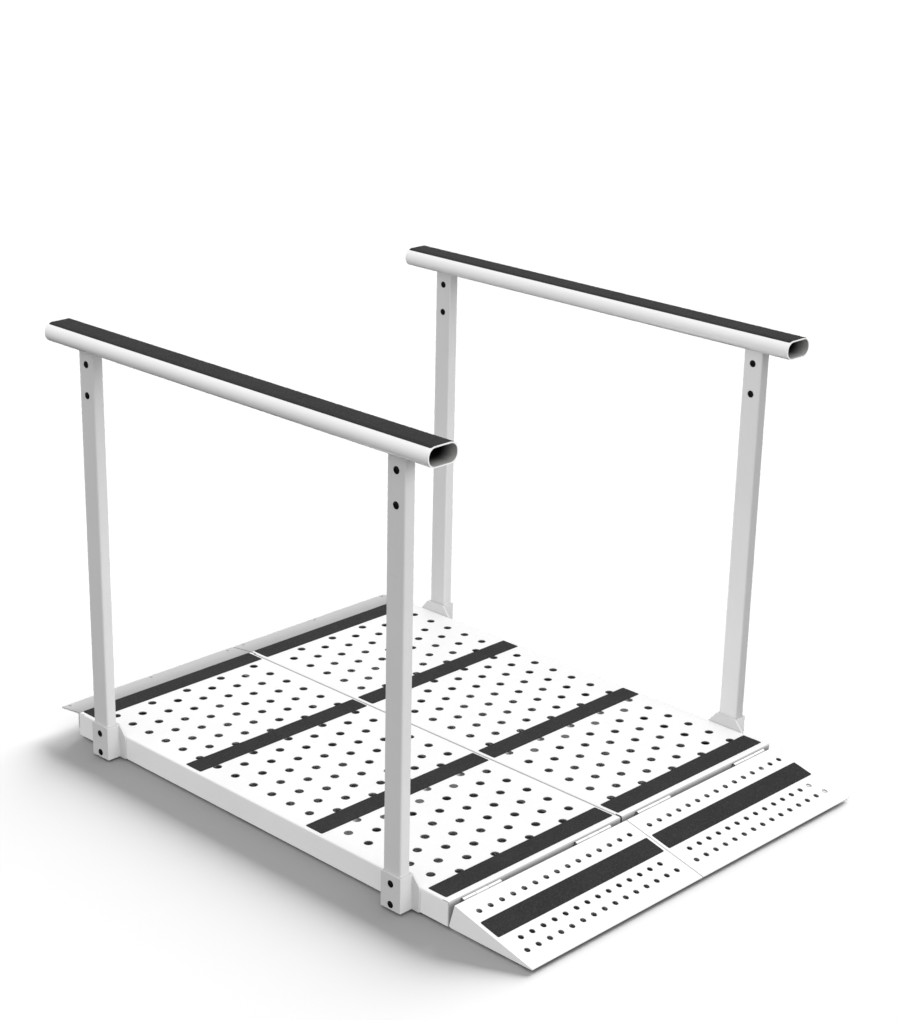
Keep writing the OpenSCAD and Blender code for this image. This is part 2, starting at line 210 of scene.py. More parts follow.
def add_studio():
    """Soft light from the front, a side light that only reaches the far front post, and a low sun
    that only draws the floor's shadow, which the posts and rails leave out."""
    bpy.context.scene.view_settings.view_transform = "Standard"
    add_sky()
    floor = add_floor()
    far_post = NODES["right_front_post"]
    key = add_sun("key", energy=1.15, direction=(0.05, -0.93, 0.37), angle=30)
    key.light_linking.receiver_collection = link_group("key_lights", [floor, far_post], "EXCLUDE")
    side = add_sun("side_light", energy=0.6, direction=(-0.93, 0.2, 0.3), angle=30)
    side.light_linking.receiver_collection = link_group("side_light_on", [far_post], "INCLUDE")
    low = add_sun("shadow_maker", energy=26, direction=(0.91, 0.28, 0.22), angle=38)
    low.light_linking.receiver_collection = link_group("shadow_falls_on", [floor], "INCLUDE")
    tall = [o for o in bpy.data.objects if any(part in o.name for part in TALL_PARTS)]
    low.light_linking.blocker_collection = link_group("too_tall_for_shadow", tall, "EXCLUDE")


# ---- Materials ----

# Heights over which the painted shade beside the seam fades in, going up
SEAM_SHADE_Z = (26 * MM, 36 * MM)


class Nodes:
    """Adds and links nodes in one material's tree."""

    def __init__(self, name):
        self.mat = bpy.data.materials.new(name)
        self.mat.use_nodes = True
        self.tree = self.mat.node_tree
        self.shader = self.tree.nodes["Principled BSDF"]
        self.where = self.add("ShaderNodeTexCoord").outputs["Object"]

    def add(self, kind, **settings):
        node = self.tree.nodes.new(kind)
        for key, value in settings.items():
            setattr(node, key, value)
        return node

    def link(self, source, target):
        self.tree.links.new(source, target)

    def noise(self, scale, detail=3.0, rough=0.55, stretch=None):
        node = self.add("ShaderNodeTexNoise")
        node.inputs["Scale"].default_value = scale
        node.inputs["Detail"].default_value = detail
        node.inputs["Roughness"].default_value = rough
        source = self.where
        if stretch:
            mapping = self.add("ShaderNodeMapping")
            mapping.inputs["Scale"].default_value = stretch
            self.link(source, mapping.inputs["Vector"])
            source = mapping.outputs["Vector"]
        self.link(source, node.inputs["Vector"])
        return node.outputs["Fac"]

    def along(self, axis, start, end):
        """0 to 1 from start to end along one axis of the object."""
        split = self.add("ShaderNodeSeparateXYZ")
        self.link(self.where, split.inputs[0])
        span = self.add("ShaderNodeMapRange", interpolation_type="SMOOTHSTEP")
        span.inputs["From Min"].default_value = start
        span.inputs["From Max"].default_value = end
        self.link(split.outputs[axis], span.inputs["Value"])
        return span.outputs["Result"]

    def seam(self, reach):
        """1 at the seam between the halves, fading to 0 at reach from it, in the upper part: where
        painted shade lies in the seam.
        """
        split = self.add("ShaderNodeSeparateXYZ")
        self.link(self.where, split.inputs[0])
        away = self.add("ShaderNodeMath", operation="ABSOLUTE")
        self.link(split.outputs["X"], away.inputs[0])
        fade = self.add("ShaderNodeMapRange", interpolation_type="SMOOTHSTEP")
        fade.inputs["From Min"].default_value = reach
        fade.inputs["From Max"].default_value = reach / 2
        self.link(away.outputs[0], fade.inputs["Value"])
        return self.times(fade.outputs["Result"], self.along("Z", *SEAM_SHADE_Z))

    def times(self, a, b):
        node = self.add("ShaderNodeMath", operation="MULTIPLY")
        self.link(a, node.inputs[0])
        if isinstance(b, bpy.types.NodeSocket):
            self.link(b, node.inputs[1])
        else:
            node.inputs[1].default_value = b
        return node.outputs[0]

    def ramp(self, source, *stops):
        """A colour ramp; each stop is (position, grey or colour)."""
        node = self.add("ShaderNodeValToRGB")
        elements = node.color_ramp.elements
        while len(elements) < len(stops):
            elements.new(0.5)
        for element, (place, colour) in zip(elements, stops):
            if not hasattr(colour, "__len__"):
                colour = (colour,) * 3
            element.position = place
            element.color = (*colour, 1)
        self.link(source, node.inputs["Fac"])
        return node.outputs["Color"]

    def mix(self, fac, a, b, mode="MIX"):
        node = self.add("ShaderNodeMix", data_type="RGBA", blend_type=mode)
        for socket, value in ((node.inputs[0], fac), (node.inputs[6], a), (node.inputs[7], b)):
            if isinstance(value, bpy.types.NodeSocket):
                self.link(value, socket)
            elif hasattr(value, "__len__"):
                socket.default_value = (*value, 1)
            else:
                socket.default_value = value
        return node.outputs[2]

    def bump(self, *layers):
        """Each layer is (height socket, depth in metres)."""
        normal = None
        for height, depth in layers:
            node = self.add("ShaderNodeBump")
            node.inputs["Distance"].default_value = depth
            self.link(height, node.inputs["Height"])
            if normal:
                self.link(normal, node.inputs["Normal"])
            normal = node.outputs["Normal"]
        self.link(normal, self.shader.inputs["Normal"])

    def colour(self, socket):
        self.link(socket, self.shader.inputs["Base Color"])

    def rough(self, socket):
        self.link(socket, self.shader.inputs["Roughness"])


def tint(colour, share):
    """The colour, darker by a share."""
    return [share * c for c in colour]


def powder_coat(name, colour, rough, peel=0.06 * MM, coat=0.0, fade=None, seam=None):
    """Powder-coated steel: orange peel, faint clouding, dull specks and a few short scuffs.
    fade is (axis, start, end, share): painted shade, the colour goes from share times itself to
    itself.
    seam is (reach, share): how far and how dark painted shade lies beside the seam between the
    halves."""
    n = Nodes(name)
    cloud = n.ramp(n.noise(7, 4), (0.3, tint(colour, 0.965)), (0.7, colour))
    speck = n.ramp(n.noise(900, 2), (0.68, 0.0), (0.74, 1.0))
    paint = n.mix(speck, cloud, tint(colour, 0.88))
    scuff = n.times(n.ramp(n.noise(130, 3, stretch=(1, 0.12, 1)), (0.66, 0.0), (0.72, 1.0)),
                    n.ramp(n.noise(9, 3), (0.5, 0.0), (0.66, 0.5)))
    paint = n.mix(scuff, paint, tint(colour, 0.84))
    # Painted shade: darker towards one end along an axis
    if fade:
        axis, start, end, share = fade
        dim = n.mix(1.0, paint, (share,) * 3, "MULTIPLY")
        paint = n.mix(n.along(axis, start, end), dim, paint)
    # Painted shade in the crevice beside the seam
    if seam:
        reach, share = seam
        paint = n.mix(n.seam(reach), paint, tint(colour, share))
    n.colour(paint)
    n.rough(n.ramp(n.noise(35, 4), (0.3, rough - 0.05), (0.7, rough + 0.07)))
    n.bump((n.noise(420, 2), peel), (n.noise(55, 2), peel * 1.5))
    n.shader.inputs["Coat Weight"].default_value = coat
    n.shader.inputs["Coat Roughness"].default_value = 0.12
    return n.mat


def grit_tape(name):
    """Black anti-slip tape: packed mineral grains, a few of them lighter grey as a painted
    highlight of grains catching the light.
    """
    n = Nodes(name)
    grain = n.add("ShaderNodeTexVoronoi")
    grain.inputs["Scale"].default_value = 1300
    n.link(n.where, grain.inputs["Vector"])
    # Painted highlight: a few grains coloured lighter grey, as if catching the light
    painted_glint = n.ramp(grain.outputs["Color"], (0.86, 0.0), (0.97, 1.0))
    base = n.ramp(n.noise(300, 4), (0.3, 0.016), (0.7, 0.033))
    wear = n.ramp(n.noise(14, 4), (0.45, 0.0), (0.8, 0.25))
    n.colour(n.mix(painted_glint, n.mix(wear, base, (0.05,) * 3), (0.12,) * 3))
    n.rough(n.ramp(grain.outputs["Distance"], (0.0, 0.7), (0.6, 0.95)))
    n.bump((n.noise(1100, 2), 0.3 * MM), (grain.outputs["Distance"], 0.2 * MM))
    n.shader.inputs["Specular IOR Level"].default_value = 0.25
    return n.mat


def plated_steel(name, colour, rough, metallic=1.0, specular=0.5):
    """Zinc-plated, blackened or raw steel with fine brushing and clouding."""
    n = Nodes(name)
    n.shader.inputs["Metallic"].default_value = metallic
    n.shader.inputs["Specular IOR Level"].default_value = specular
    n.colour(n.ramp(n.noise(60, 4), (0.3, tint(colour, 0.8)), (0.7, colour)))
    n.rough(n.ramp(n.noise(120, 3), (0.3, rough - 0.08), (0.7, rough + 0.1)))
    n.bump((n.noise(260, 3, stretch=(0.06, 1, 1)), 0.03 * MM))
    return n.mat


# How far in from each mouth of a tube its painted shade fades to near black
TUBE_SHADE_REACH = 34 * MM


def tube_wall(name, colour, middle, half_length):
    """Inside of a tube along Y: grey at its mouths, fading to near black further in, painted shade
    of the tube's depth.
    """
    n = Nodes(name)
    split = n.add("ShaderNodeSeparateXYZ")
    n.link(n.where, split.inputs[0])
    away = n.add("ShaderNodeMath", operation="SUBTRACT")
    n.link(split.outputs["Y"], away.inputs[0])
    away.inputs[1].default_value = middle
    depth = n.add("ShaderNodeMath", operation="ABSOLUTE")
    n.link(away.outputs[0], depth.inputs[0])
    reach = n.add("ShaderNodeMapRange", interpolation_type="SMOOTHSTEP")
    reach.inputs["From Min"].default_value = half_length - TUBE_SHADE_REACH
    reach.inputs["From Max"].default_value = half_length
    n.link(depth.outputs[0], reach.inputs["Value"])
    mouth_grey = n.ramp(n.noise(60, 4), (0.3, tint(colour, 0.8)), (0.7, colour))
    # Near black deep inside the tube: painted shade
    n.colour(n.mix(reach.outputs["Result"], (0.006, 0.006, 0.006), mouth_grey))
    n.rough(n.ramp(n.noise(120, 3), (0.3, 0.55), (0.7, 0.75)))
    n.bump((n.noise(260, 3), 0.04 * MM))
    n.shader.inputs["Specular IOR Level"].default_value = 0.2
    return n.mat


def foot_rubber(name):
    """Dull black rubber with a fine grain."""
    n = Nodes(name)
    n.colour(n.ramp(n.noise(90, 4), (0.3, 0.02), (0.7, 0.045)))
    n.rough(n.ramp(n.noise(50, 3), (0.3, 0.7), (0.7, 0.9)))
    n.bump((n.noise(800, 2), 0.1 * MM))
    return n.mat


WHITE = (0.93, 0.93, 0.93)
PAINT_ROUGH = 0.42
MATERIALS = {
    "white_paint": powder_coat("white_paint", WHITE, PAINT_ROUGH),
    "grey_paint": powder_coat("grey_paint", (0.67, 0.67, 0.675), PAINT_ROUGH),
    "rail_paint": powder_coat("rail_paint", (0.92, 0.92, 0.92), 0.2, peel=0.03 * MM, coat=0.5),
    "grit_tape": grit_tape("grit_tape"),
    "black_steel": plated_steel("black_steel", (0.005, 0.005, 0.005), 0.55, 0.0, 0.08),
    "zinc_steel": plated_steel("zinc_steel", (0.68, 0.68, 0.69), 0.34),
    "foot_rubber": foot_rubber("foot_rubber"),
}

# Materials for some faces of a piece, or for one piece of a slot, with painted shade
RAIL_LO, RAIL_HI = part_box("right_handrail")
TUBE_INSIDE_SHADE = tube_wall("tube_inside", (0.52, 0.52, 0.51), (RAIL_LO.y + RAIL_HI.y) / 2,
                        (RAIL_HI.y - RAIL_LO.y) / 2)
LIP_LO, LIP_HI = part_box("right_lip")
# Grey lip, a shaded copy of the white paint, darkened further towards the deck: painted shade
LIP_SHADE_PAINT = powder_coat("lip_paint", (0.56, 0.56, 0.565), 0.45,
                        fade=("Y", LIP_LO.y, LIP_HI.y, 0.72))
# White paint with painted shade in the crevice beside the seam between the halves
DECK_SEAM_SHADE_PAINT = powder_coat("deck_paint", WHITE, PAINT_ROUGH, seam=(2.2 * MM, 0.5))
DECK_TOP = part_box("right_deck_sheet")[1].z
# White paint, darker below the front rim's top edge and beside the seam: painted shade in the
# groove behind the flap's hinge
FRONT_SHADE_PAINT = powder_coat("front_rim_paint", WHITE, PAINT_ROUGH, seam=(3.2 * MM, 0.12),
                          fade=("Z", DECK_TOP - 0.9 * MM, DECK_TOP - 0.2 * MM, 0.56))
# Near-black knuckle ends and grey hinge leaves: painted shade round the flap's hinge knuckles
KNUCKLE_END_SHADE = plated_steel("cut_steel", (0.03, 0.03, 0.03), 0.6, 0.3, 0.2)
LEAF_SHADE = powder_coat("grey_leaf", (0.4, 0.4, 0.4), 0.5)
# Near black inside the hollow under the deck and in the holes' walls: painted shade
UNDERSIDE_SHADE = powder_coat("underside_primer", (0.13, 0.13, 0.134), 0.7)


# ---- Mesh helpers ----

def add_piece(name, verts, faces, body, slot, smooth=None, material=None):
    """A mesh piece in the row frame that rides on a body and wears a slot's material. smooth is
    one flag for each face; without it, all of them are smooth."""
    mesh = bpy.data.meshes.new(name)
    mesh.from_pydata([tuple(v) for v in verts], [], faces)
    mesh.validate()
    piece = bpy.data.objects.new(name, mesh)
    bpy.context.scene.collection.objects.link(piece)
    if smooth:
        mesh.polygons.foreach_set("use_smooth", smooth)
    else:
        mesh.shade_smooth()
    mesh.materials.append(material or MATERIALS[slot])
    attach(piece, body)
    return piece


def circle_points(centre, radius, count):
    """Points round a circle, anticlockwise."""
    turn = 2 * math.pi / count
    return [(centre[0] + radius * math.cos(i * turn), centre[1] + radius * math.sin(i * turn))
            for i in range(count)]


ROLL_STEPS = 3
WELD_REACH = 1e-7
OUTLINE = ((0, 1), (1, 2), (2, 3), (3, 0))


def plate_triangles(flat, edges, count):
    """Triangles between a plate's four corners and its holes' rings of count points each."""
    points, _, tris, origin, _, _ = delaunay_2d_cdt([Vector(p) for p in flat], edges, [], 0,
                                                    WELD_REACH)
    back = [group[0] for group in origin]
    ring_of = {i: (back[i] - 4) // count for i in range(len(points)) if back[i] >= 4}
    # A triangle with all its points on one ring lies inside that hole
    return [tuple(back[i] for i in tri) for tri in tris
            if len({ring_of.get(i, -1 - i) for i in tri}) > 1]


def perforated_plate(lo, hi, thickness, holes, radius, count):
    """Vertices, faces, smooth flags and wall faces of a level plate under z = 0, whose round
    holes have rolled edges and count sides."""
    flat = [(lo[0], lo[1]), (hi[0], lo[1]), (hi[0], hi[1]), (lo[0], hi[1])]
    edges = list(OUTLINE)
    for centre in holes:
        first = len(flat)
        flat += circle_points(centre, radius + HOLE_ROLL, count)
        edges += [(first + i, first + (i + 1) % count) for i in range(count)]
    triangles = plate_triangles(flat, edges, count)
    verts = [(x, y, 0.0) for x, y in flat]
    faces = list(triangles)
    smooth = [False] * len(faces)
    levels = [list(range(len(flat)))]
    profile = [(HOLE_ROLL * (1 - math.sin(a)), -HOLE_ROLL * (1 - math.cos(a)))
               for a in (math.pi / 2 * (k + 1) / ROLL_STEPS for k in range(ROLL_STEPS))]
    profile.append((0.0, -thickness))
    for extra, depth in profile:
        level = {}
        for k, centre in enumerate(holes):
            for i, (x, y) in enumerate(circle_points(centre, radius + extra, count)):
                level[4 + k * count + i] = len(verts)
                verts.append((x, y, depth))
        levels.append(level)
    walls = set()
    for upper, lower in zip(levels, levels[1:]):
        for k in range(len(holes)):
            first = 4 + k * count
            for i in range(count):
                a, b = first + i, first + (i + 1) % count
                if lower is levels[-1]:
                    walls.add(len(faces))
                faces.append((upper[b], upper[a], lower[a], lower[b]))
                smooth.append(True)
    bottom = dict(levels[-1])
    for i, (x, y) in enumerate(flat[:4]):
        bottom[i] = len(verts)
        verts.append((x, y, -thickness))
    for a, b, c in triangles:
        faces.append((bottom[c], bottom[b], bottom[a]))
        smooth.append(False)
    for a, b in OUTLINE:
        faces.append((b, a, bottom[a], bottom[b]))
        smooth.append(False)
    return verts, faces, smooth, walls


def round_corner(u, v, width, length, radius):
    """A grid point of a rectangle, pulled in where it lies outside the rectangle's round corner."""
    du = max(0.0, abs(u - width / 2) - (width / 2 - radius))
    dv = max(0.0, abs(v - length / 2) - (length / 2 - radius))
    far = math.hypot(du, dv)
    pull = radius / far if far > radius else 1.0
    return (u - math.copysign(du * (1 - pull), u - width / 2),
            v - math.copysign(dv * (1 - pull), v - length / 2))


TAPE_CELL = 2 * MM
TAPE_EDGE = 0.4 * MM
TAPE_GRIT = 0.28 * MM
TAPE_CORNER = 2.5 * MM
TAPE_T = 1 * MM
TAPE_RIM_SINK = 0.45


def grid_steps(length):
    """Places along a tape: a narrow step at each end, and even cells between."""
    inner = length - 2 * TAPE_EDGE
    count = max(2, round(inner / TAPE_CELL))
    return [0.0] + [TAPE_EDGE + inner * i / count for i in range(count + 1)] + [length]


def relief_sheet(across, along, place, seed):
    """A tape as a fine grid: place(u, v, height) puts a grid point, its grains are sunk by up to
    TAPE_GRIT, its corners are round and its edges slope down to the base."""
    rng = np.random.default_rng(seed)
    width, length = across[-1], along[-1]
    columns, rows = len(across), len(along)
    verts = []
    for j, v in enumerate(along):
        for i, u in enumerate(across):
            rim = i in (0, columns - 1) or j in (0, rows - 1)
            sink = TAPE_T * TAPE_RIM_SINK if rim else TAPE_GRIT * rng.random()
            verts.append(place(*round_corner(u, v, width, length, TAPE_CORNER), TAPE_T - sink))
    faces = []
    for j in range(rows - 1):
        for i in range(columns - 1):
            a = j * columns + i
            faces.append((a, a + 1, a + columns + 1, a + columns))
    border = list(range(columns))
    border += [j * columns + columns - 1 for j in range(1, rows)]
    border += [(rows - 1) * columns + i for i in range(columns - 2, -1, -1)]
    border += [j * columns for j in range(rows - 2, 0, -1)]
    base = {}
    for index in border:
        j, i = divmod(index, columns)
        base[index] = len(verts)
        verts.append(place(*round_corner(across[i], along[j], width, length, TAPE_CORNER), 0.0))
    for a, b in zip(border, border[1:] + border[:1]):
        faces.append((b, a, base[a], base[b]))
    faces.append(tuple(base[i] for i in reversed(border)))
    return verts, faces


# ---- Sheets with rolled holes ----

DECK_HOLE_SIDES = 28
FLAP_HOLE_SIDES = 24


def paint_underside(piece, wall_faces):
    """Near-black painted shade on the faces that look down and on the holes' punched walls."""
    piece.data.materials.append(UNDERSIDE_SHADE)
    for face in piece.data.polygons:
        face.material_index = int(face.normal.z < -0.8 or face.index in wall_faces)


def deck_holes(side):
    """Hole centres of one half, about the deck's centre: alternate rows hold one hole fewer."""
    holes = []
    for row in range(HOLE_ROWS):
        short = (row % 2 == 0) == (side == "left")
        start = HOLE_PITCH_X / 2 if short else 0.0
        for i in range(WIDE_ROW - 1 if short else WIDE_ROW):
            holes.append((SIDES[side] * (FIRST_HOLE_X + start + i * HOLE_PITCH_X),
                          (row - (HOLE_ROWS - 1) / 2) * HOLE_PITCH_Y))
    return holes


def add_deck_plate(side):
    """The perforated sheet of one deck half."""
    node = side + "_deck_sheet"
    lo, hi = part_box(node)
    middle = (lo.y + hi.y) / 2
    verts, faces, smooth, walls = perforated_plate(
        (lo.x, lo.y - middle), (hi.x, hi.y - middle), SHEET_T, deck_holes(side), HOLE_R,
        DECK_HOLE_SIDES)
    verts = [(x, y + middle, z + hi.z) for x, y, z in verts]
    piece = add_piece(side + "_deck_plate", verts, faces, side + "_deck", "white_paint", smooth,
                      DECK_SEAM_SHADE_PAINT)
    paint_underside(piece, walls)
    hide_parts(node)


def flap_turn(side):
    """From the flap's own frame, level with its hinge axis at the origin, to the row frame."""
    axis = Vector(JOINTS[side + "_flap_hinge"]["pos_m"])
    axis.x = 0
    return Matrix.Translation(axis) @ Matrix.Rotation(FLAP_SLOPE, 4, "X")


def flap_length(side):
    """Length of the flap's sheet from the hinge axis, along its slope."""
    lo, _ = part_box(side + "_flap_sheet")
    axis_y = JOINTS[side + "_flap_hinge"]["pos_m"][1]
    return (axis_y - lo.y - FLAP_TOP * math.sin(FLAP_SLOPE)) / math.cos(FLAP_SLOPE)


def add_flap_plate(side):
    """The perforated sheet of one flap, on its slope."""
    node = side + "_flap_sheet"
    lo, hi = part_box(node)
    centre = SIDES[side] * HALF_W / 2
    holes = [(centre + (i - (count - 1) / 2) * FLAP_HOLE_PITCH, -FLAP_START - at)
             for at, count in FLAP_ROWS for i in range(count)]
    verts, faces, smooth, walls = perforated_plate(
        (lo.x, -flap_length(side)), (hi.x, -FLAP_START), SHEET_T, holes, FLAP_HOLE_R,
        FLAP_HOLE_SIDES)
    turn = flap_turn(side)
    verts = [turn @ Vector((x, y, z + FLAP_TOP)) for x, y, z in verts]
    piece = add_piece(side + "_flap_plate", verts, faces, side + "_flap", "white_paint", smooth)
    paint_underside(piece, walls)
    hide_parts(node)


# ---- Anti-slip tapes ----

RAIL_TAPE_INSET = 1.5 * MM


def add_tapes(name, boxes, turn, body, node, seed):
    """Rectangular tapes, each lying on its box's lower face, joined as one piece."""
    verts, faces = [], []
    for k, (lo, hi) in enumerate(boxes):
        across = grid_steps(hi[0] - lo[0])
        along = grid_steps(hi[1] - lo[1])

        def place(u, v, height):
            return turn @ Vector((lo[0] + u, lo[1] + v, lo[2] + height))

        more, shapes = relief_sheet(across, along, place, seed + k)
        first = len(verts)
        verts += more
        faces += [tuple(first + i for i in face) for face in shapes]
    piece = add_piece(name, verts, faces, body, "grit_tape")
    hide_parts(node)


def loose_boxes(node):
    """Boxes of a node's separate box-shaped solids, which follow each other along Y."""
    places = sorted({round(v.co.y, 5) for v in NODES[node].data.vertices})
    lo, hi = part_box(node)
    ends = [(places[i], places[i + 1]) for i in range(0, len(places), 2)]
    return [((lo.x, a, lo.z), (hi.x, b, hi.z)) for a, b in ends]


def add_deck_tapes(side):
    """The four tapes across one deck half, one for each CAD strip."""
    node = side + "_deck_treads"
    add_tapes(side + "_deck_tapes", loose_boxes(node), Matrix.Identity(4), side + "_deck", node,
              seed=10)


def add_flap_tape(side):
    """The flap's tape, found by turning its CAD box back to level."""
    node = side + "_flap_tread"
    turn = flap_turn(side)
    back = turn.inverted()
    level = [back @ v.co for v in NODES[node].data.vertices]
    lo = [min(v[i] for v in level) for i in range(3)]
    hi = [max(v[i] for v in level) for i in range(3)]
    add_tapes(side + "_flap_tape", [(lo, hi)], turn, side + "_flap", node, seed=40)


def add_rail_tape(side):
    """Tape over the rail's flat top and a little way round its corners."""
    node = side + "_rail_grip"
    lo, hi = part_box(node)
    rail_lo, rail_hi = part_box(side + "_handrail")
    centre = (rail_lo.x + rail_hi.x) / 2
    flat = (rail_hi.x - rail_lo.x) / 2 - RAIL_CORNER_R
    bend = math.asin(((hi.x - lo.x) / 2 - flat) / (RAIL_CORNER_R + TAPE_T))
    width = 2 * (flat + bend * RAIL_CORNER_R)
    start, end = lo.y + RAIL_TAPE_INSET, hi.y - RAIL_TAPE_INSET

    def place(u, v, height):
        s = u - width / 2
        over = max(0.0, abs(s) - flat) / RAIL_CORNER_R
        reach = RAIL_CORNER_R + height
        x = math.copysign(min(abs(s), flat) + reach * math.sin(over), s)
        drop = reach * (1 - math.cos(over))
        return Vector((centre + x, start + v, rail_hi.z + height - drop))

    across = grid_steps(width)
    along = grid_steps(end - start)
    verts, faces = relief_sheet(across, along, place, seed=60)
    piece = add_piece(side + "_rail_tape", verts, faces, side + "_deck", "grit_tape")
    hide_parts(node)


# ---- Paint and painted shade on CAD nodes ----

def shade_inside(mesh, side):
    """Near-black painted shade on the faces that look towards the hollow under one half."""
    lo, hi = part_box(side + "_deck_sheet")
    middle = Vector(((lo.x + hi.x) / 2, (lo.y + hi.y) / 2, DECK_TOP / 2))
    mesh.materials.append(UNDERSIDE_SHADE)
    for face in mesh.polygons:
        face.material_index = int(face.normal.dot(face.center - middle) < 0)


def paint_hinge(mesh, axis):
    """Near-black ends and grey leaves beside white knuckles: painted shade in the hinge's gaps."""
    mesh.materials.append(KNUCKLE_END_SHADE)
    mesh.materials.append(LEAF_SHADE)
    for face in mesh.polygons:
        away = math.hypot(face.center.y - axis.y, face.center.z - axis.z)
        if abs(face.normal.x) > 0.9:
            face.material_index = 1
        elif away > KNUCKLE_R + 0.2 * MM:
            face.material_index = 2


def darken_inside(node):
    """The tube's inside material, grey to near black with painted shade, on the walls that face its
    own axis.
    """
    mesh = NODES[node].data
    lo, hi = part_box(node)
    axis = (lo + hi) / 2
    mesh.materials.append(TUBE_INSIDE_SHADE)
    for face in mesh.polygons:
        out = face.center - axis
        out.y = 0
        if face.normal.dot(out) < 0 and abs(face.normal.y) < 0.5:
            face.material_index = 1


def dress_nodes():
    """Puts each slot's material on its CAD nodes, then the ones with painted shade on theirs."""
    for name, node in NODES.items():
        node.data.materials.clear()
        node.data.materials.append(MATERIALS[SLOT_OF[name]])
    for side in SIDES:
        NODES[side + "_front_rim"].data.materials[0] = FRONT_SHADE_PAINT
        NODES[side + "_seam_rim"].data.materials[0] = DECK_SEAM_SHADE_PAINT
        NODES[side + "_rear_rim"].data.materials[0] = DECK_SEAM_SHADE_PAINT
        NODES[side + "_lip"].data.materials[0] = LIP_SHADE_PAINT
        # Painted shade on the rims' and ribs' faces towards the hollow under the deck
        for part in ("_side_rim", "_seam_rim", "_front_rim", "_rear_rim", "_cross_ribs"):
            shade_inside(NODES[side + part].data, side)
        for part in ("_flap_leaves", "_flap_deck_leaves"):
            paint_hinge(NODES[side + part].data, Vector(JOINTS[side + "_flap_hinge"]["pos_m"]))


# ---- Softened edges ----

MERGE_REACH = 0.03 * MM
FLAT_ANGLE = math.radians(0.5)
BEVEL_ANGLE = math.radians(35)
SHARP_ANGLE = math.radians(50)
BEVEL_SEGMENTS = 2


def soften(node, width):
    """Stands in for a CAD node with the same shape, its sharp edges rounded by a small radius."""
    source = NODES[node]
    mesh = source.data.copy()
    mesh.name = node + "_soft"
    work = bmesh.new()
    work.from_mesh(mesh)
    bmesh.ops.remove_doubles(work, verts=work.verts, dist=MERGE_REACH)
    bmesh.ops.dissolve_limit(work, angle_limit=FLAT_ANGLE, verts=work.verts, edges=work.edges)
    sharp = [e for e in work.edges
             if len(e.link_faces) == 2 and e.calc_face_angle(0) > BEVEL_ANGLE]
    bmesh.ops.bevel(work, geom=sharp, offset=width, offset_type="OFFSET",
                    segments=BEVEL_SEGMENTS, profile=0.5, affect="EDGES", clamp_overlap=True)
    bmesh.ops.recalc_face_normals(work, faces=work.faces)
    work.to_mesh(mesh)
    work.free()
    if mesh.attributes.get("custom_normal"):
        mesh.attributes.remove(mesh.attributes["custom_normal"])
    piece = bpy.data.objects.new(node + "_soft", mesh)
    bpy.context.scene.collection.objects.link(piece)
    mesh.shade_smooth()
    mesh.set_sharp_from_angle(angle=SHARP_ANGLE)
    flats = piece.modifiers.new("flat_faces", "WEIGHTED_NORMAL")
    flats.mode = "FACE_AREA_WITH_ANGLE"
    flats.weight = 100
    flats.keep_sharp = True
    mesh.materials.clear()
    mesh.materials.append(MATERIALS[SLOT_OF[node]])
    # Painted shade on the cheeks' faces towards the hollow under the flap
    if node.endswith("cheeks"):
        shade_inside(mesh, node.split("_")[0])
    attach(piece, source["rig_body"])
    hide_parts(node)


# ---- Weld beads and feet ----

BEAD_RIPPLE = 1.8 * MM
BEAD_SIDES = 10
BEAD_STEPS = 5
GUSSET_BEAD_R = 1.4 * MM
SOCKET_BEAD_R = 1.1 * MM
RIB_BEAD_R = 1.3 * MM
FLAP_BEAD_R = 1.1 * MM


def bead(start, end, radius):
    """A short weld: overlapping ripples along a line, thinner at both ends."""
    sides = BEAD_SIDES
    start, end = Vector(start), Vector(end)
    length = (end - start).length
    forward = (end - start).normalized()
    side = forward.orthogonal().normalized()
    other = forward.cross(side)
    rings = max(8, int(length / (BEAD_RIPPLE / BEAD_STEPS)))
    verts, faces = [start], []
    for k in range(rings + 1):
        along = length * k / rings
        ripple = 0.86 + 0.14 * abs(math.cos(math.pi * along / BEAD_RIPPLE))
        taper = min(1.0, 0.35 + min(along, length - along) / (1.5 * radius))
        for i in range(sides):
            turn = 2 * math.pi * i / sides
            out = math.cos(turn) * side + math.sin(turn) * other
            verts.append(start + along * forward + radius * ripple * taper * out)
    verts.append(end)
    for i in range(sides):
        j = (i + 1) % sides
        faces.append((0, 1 + j, 1 + i))
        for k in range(rings):
            a = 1 + k * sides
            faces.append((a + i, a + j, a + sides + j, a + sides + i))
        a = 1 + rings * sides
        faces.append((a + i, a + j, len(verts) - 1))
    return verts, faces


def add_beads(name, lines, body, slot):
    """Weld beads along lines of (start, end, radius), joined as one piece."""
    verts, faces = [], []
    for start, end, radius in lines:
        more, shapes = bead(start, end, radius)
        first = len(verts)
        verts += more
        faces += [tuple(first + i for i in face) for face in shapes]
    add_piece(name, verts, faces, body, slot)


